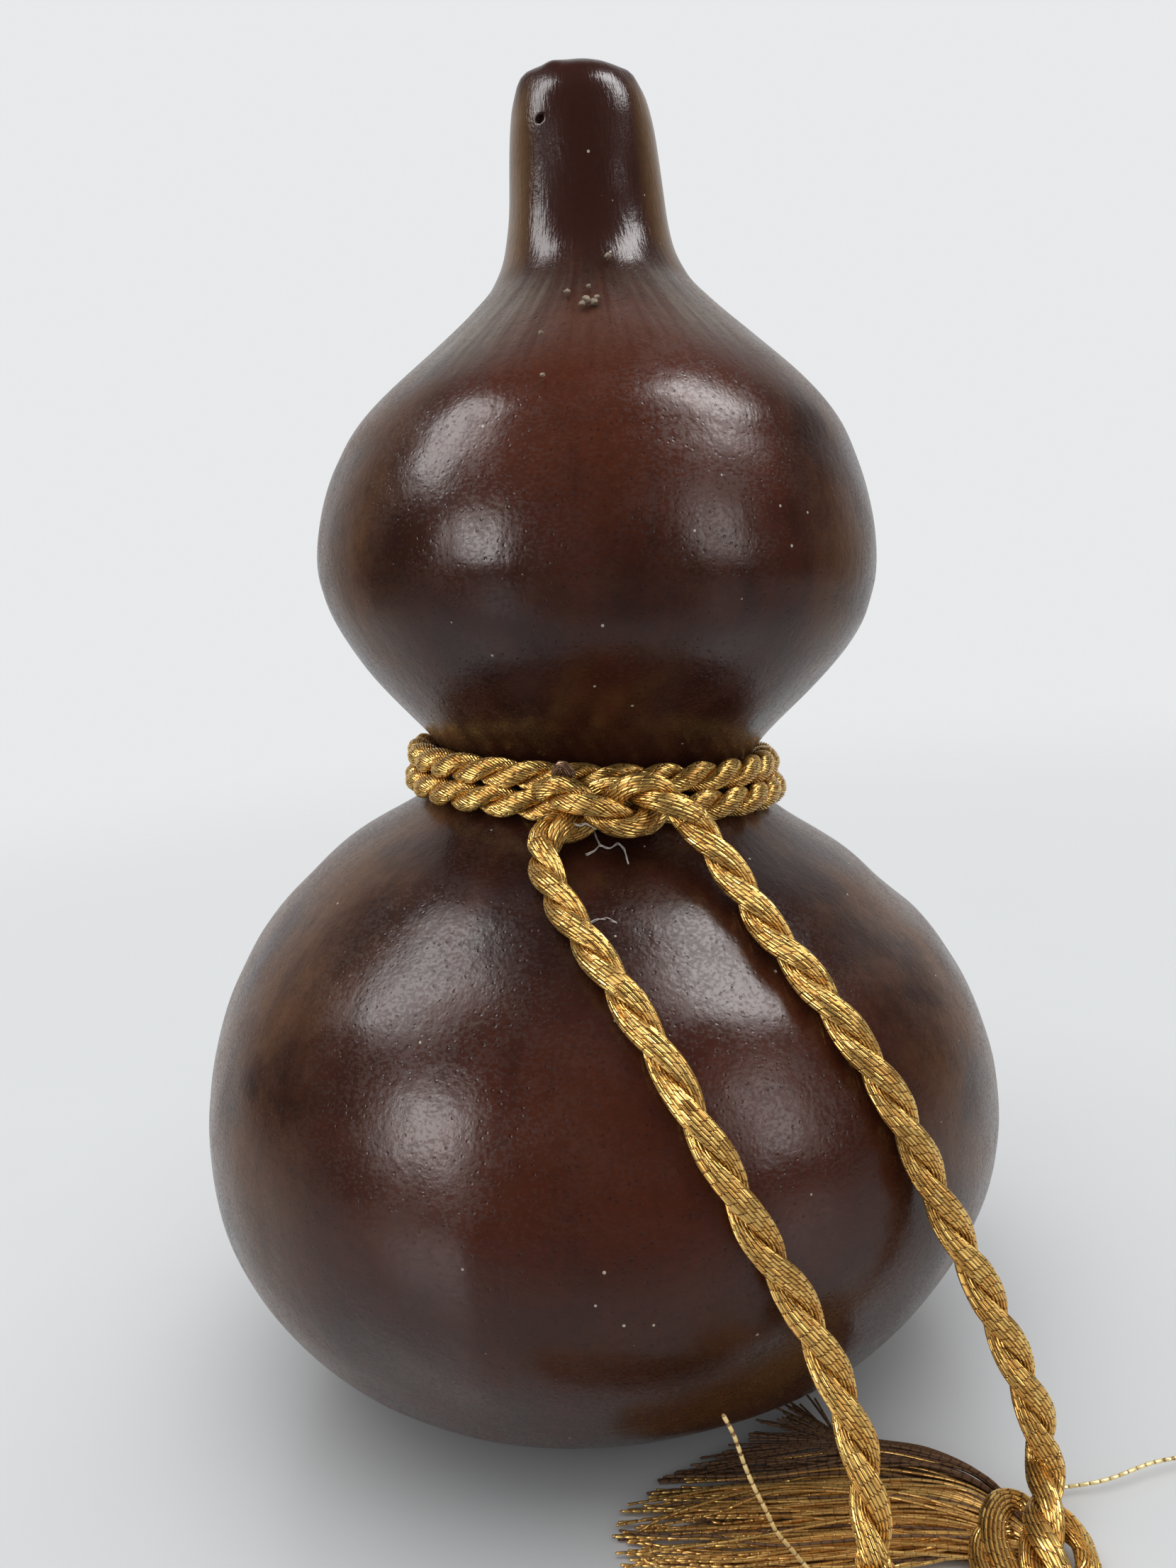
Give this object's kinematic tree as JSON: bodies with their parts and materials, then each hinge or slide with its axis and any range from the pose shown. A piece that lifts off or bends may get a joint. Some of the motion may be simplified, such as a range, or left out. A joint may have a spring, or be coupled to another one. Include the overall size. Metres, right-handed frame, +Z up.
{
  "type": "dried bottle gourd",
  "caption": "Dried, lacquered bottle gourd standing on its lower bulb, with a gold twisted cord tied round its waist and tasselled tails hanging in front.",
  "frame": {"origin": "centre of the gourd's footprint, on the surface it stands on", "axes": "+Z up along the gourd from foot to stem, -Y towards the front where the cord is tied, +X the way the stem leans"},
  "size_m": [0.1151, 0.1376, 0.1788],
  "materials": {
    "gourd": "satin lacquer, mottled dark brown",
    "waist_cord": "gold foil thread, two plies twisted",
    "cord_tail_left": "gold foil thread, two plies twisted",
    "cord_tail_right": "gold foil thread, two plies twisted",
    "tassel_left": "gold foil thread, knotted and let out into a fringe",
    "tassel_right": "gold foil thread, knotted and let out into a fringe"
  },
  "bodies": {
    "root": {"gourd": "gourd", "waist_cord": "waist_cord", "cord_tail_left": "cord_tail_left", "cord_tail_right": "cord_tail_right", "tassel_left": "tassel_left", "tassel_right": "tassel_right"}
  },
  "joints": []
}
